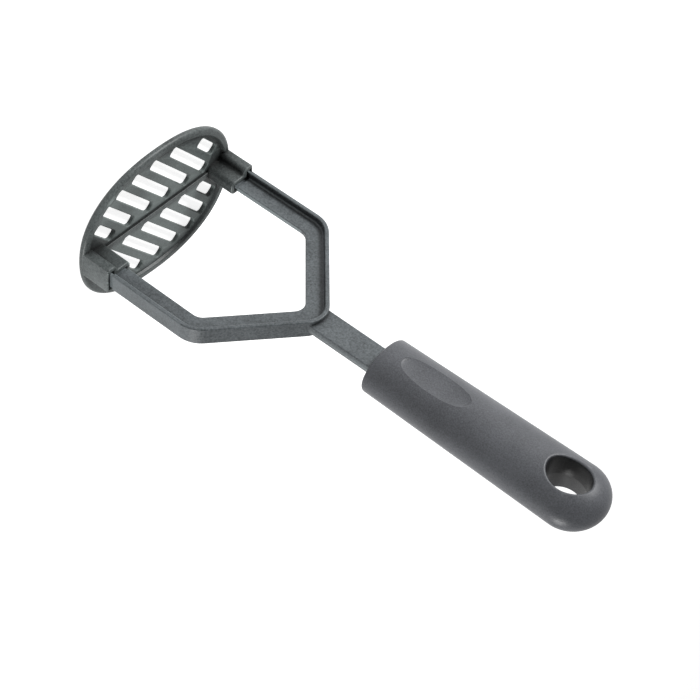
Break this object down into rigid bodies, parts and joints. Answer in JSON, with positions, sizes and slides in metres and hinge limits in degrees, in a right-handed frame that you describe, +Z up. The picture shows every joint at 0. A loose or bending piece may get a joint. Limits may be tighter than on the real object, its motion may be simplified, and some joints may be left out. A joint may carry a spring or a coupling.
{
  "type": "potato masher",
  "caption": "Hand masher with an oval slotted plate, a forked yoke and an oval grip with a hang hole.",
  "frame": {"origin": "centre of the flat mashing face", "axes": "+Z up the handle, X from socket to socket across the head, the thumb rest faces -Y"},
  "size_m": [0.0916, 0.0716, 0.2392],
  "materials": {
    "head_plastic": "satin moulded",
    "yoke_plastic": "satin moulded",
    "grip_plastic": "fine satin grain"
  },
  "bodies": {
    "masher": {"masher_head": "head_plastic", "yoke": "yoke_plastic", "grip": "grip_plastic"}
  },
  "joints": []
}
